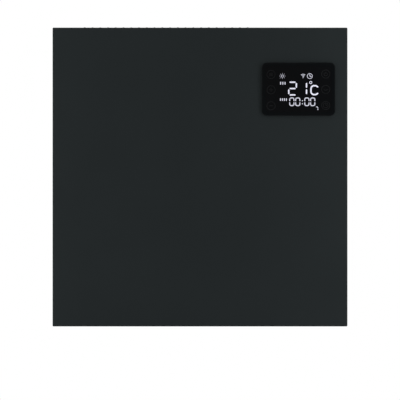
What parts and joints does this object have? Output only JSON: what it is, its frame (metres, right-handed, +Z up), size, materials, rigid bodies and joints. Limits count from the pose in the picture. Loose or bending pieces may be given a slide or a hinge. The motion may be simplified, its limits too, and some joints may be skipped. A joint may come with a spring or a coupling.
{
  "type": "convector heater",
  "caption": "Wall-hung electric convector with a flat folded steel front, a touch display, a finned element in an air duct and a tilting wall bracket.",
  "frame": {"origin": "centre of the wall bracket's four screw holes, on the wall plane", "axes": "+X to the right as seen from the room, +Y into the wall (the front faces -Y), +Z up"},
  "size_m": [0.44, 0.1018, 0.4472],
  "materials": {
    "powder_coat": "satin powder coat, anthracite black",
    "zinc_steel": "zinc-plated sheet",
    "spring_steel": "bright steel",
    "black_screws": "black screws",
    "element_aluminium": "mill finish",
    "brass_parts": "bright",
    "white_ceramic": "unglazed",
    "gloss_black": "glossy black",
    "black_lens": "smoked gloss",
    "black_plastic": "matt moulded",
    "rocker_plastic": "semi-gloss black",
    "brown_plastic": "phenolic",
    "green_plastic": "moulded",
    "white_plastic": "moulded white",
    "circuit_board": "solder resist",
    "black_rubber": "matt",
    "black_foam": "soft foam",
    "wire_red": "silicone sleeve",
    "wire_white": "glass-braid sleeve",
    "wire_green": "sleeve",
    "wire_grey": "flat ribbon"
  },
  "bodies": {
    "bracket": {"wall_bracket": "zinc_steel", "left_snap_clip": "spring_steel", "right_snap_clip": "spring_steel", "clip_rivets": "spring_steel", "bracket_bumpers": "black_rubber"},
    "heater": {"air_duct": "zinc_steel", "board_carrier": "black_plastic", "board_screws": "spring_steel", "board_terminals": "green_plastic", "cable_gland": "black_plastic", "casing_rivets": "spring_steel", "casing_screws": "black_screws", "cutout_screws": "spring_steel", "display_bezel": "gloss_black", "display_board": "circuit_board", "display_gasket": "black_foam", "display_lens": "black_lens", "display_rear_cover": "black_plastic", "earth_lead": "wire_green", "earth_nut": "brass_parts", "earth_stud": "brass_parts", "earth_tag": "brass_parts", "element_fins": "element_aluminium", "element_insulators": "white_ceramic", "element_terminals": "brass_parts", "element_wiring": "wire_white", "filter_capacitor": "black_plastic", "front_cover": "powder_coat", "gland_nut": "black_plastic", "heating_rod": "spring_steel", "inlet_grille": "black_plastic", "keeper_studs": "spring_steel", "lead_grommets": "black_rubber", "left_element_bracket": "zinc_steel", "left_pivot_ear": "zinc_steel", "light_guide": "white_plastic", "mains_fuse": "black_plastic", "outlet_grille": "black_plastic", "pivot_pins": "spring_steel", "power_board": "circuit_board", "power_relay": "black_plastic", "radio_module": "circuit_board", "rear_casing": "powder_coat", "ribbon_cable": "wire_grey", "ribbon_header": "white_plastic", "right_element_bracket": "zinc_steel", "right_pivot_ear": "zinc_steel", "room_sensor": "black_plastic", "sensor_clip": "white_plastic", "sensor_lead": "wire_white", "switch_housing": "black_plastic", "switch_terminals": "brass_parts", "switch_wiring": "wire_red", "terminal_block": "white_plastic", "thermal_cutout": "brown_plastic", "touch_pads": "black_foam", "transformer": "black_plastic"},
    "rocker": {"rocker": "rocker_plastic"}
  },
  "joints": [
    {"name": "tilt", "type": "hinge", "parent": "bracket", "child": "heater", "pos_m": [0, -0.01, -0.18], "axis": [1, 0, 0], "range_deg": [0, 18]},
    {"name": "power_rocker", "type": "hinge", "parent": "heater", "child": "rocker", "pos_m": [0.2045, -0.033, -0.11], "axis": [0, -1, 0], "range_deg": [0, 20]}
  ]
}
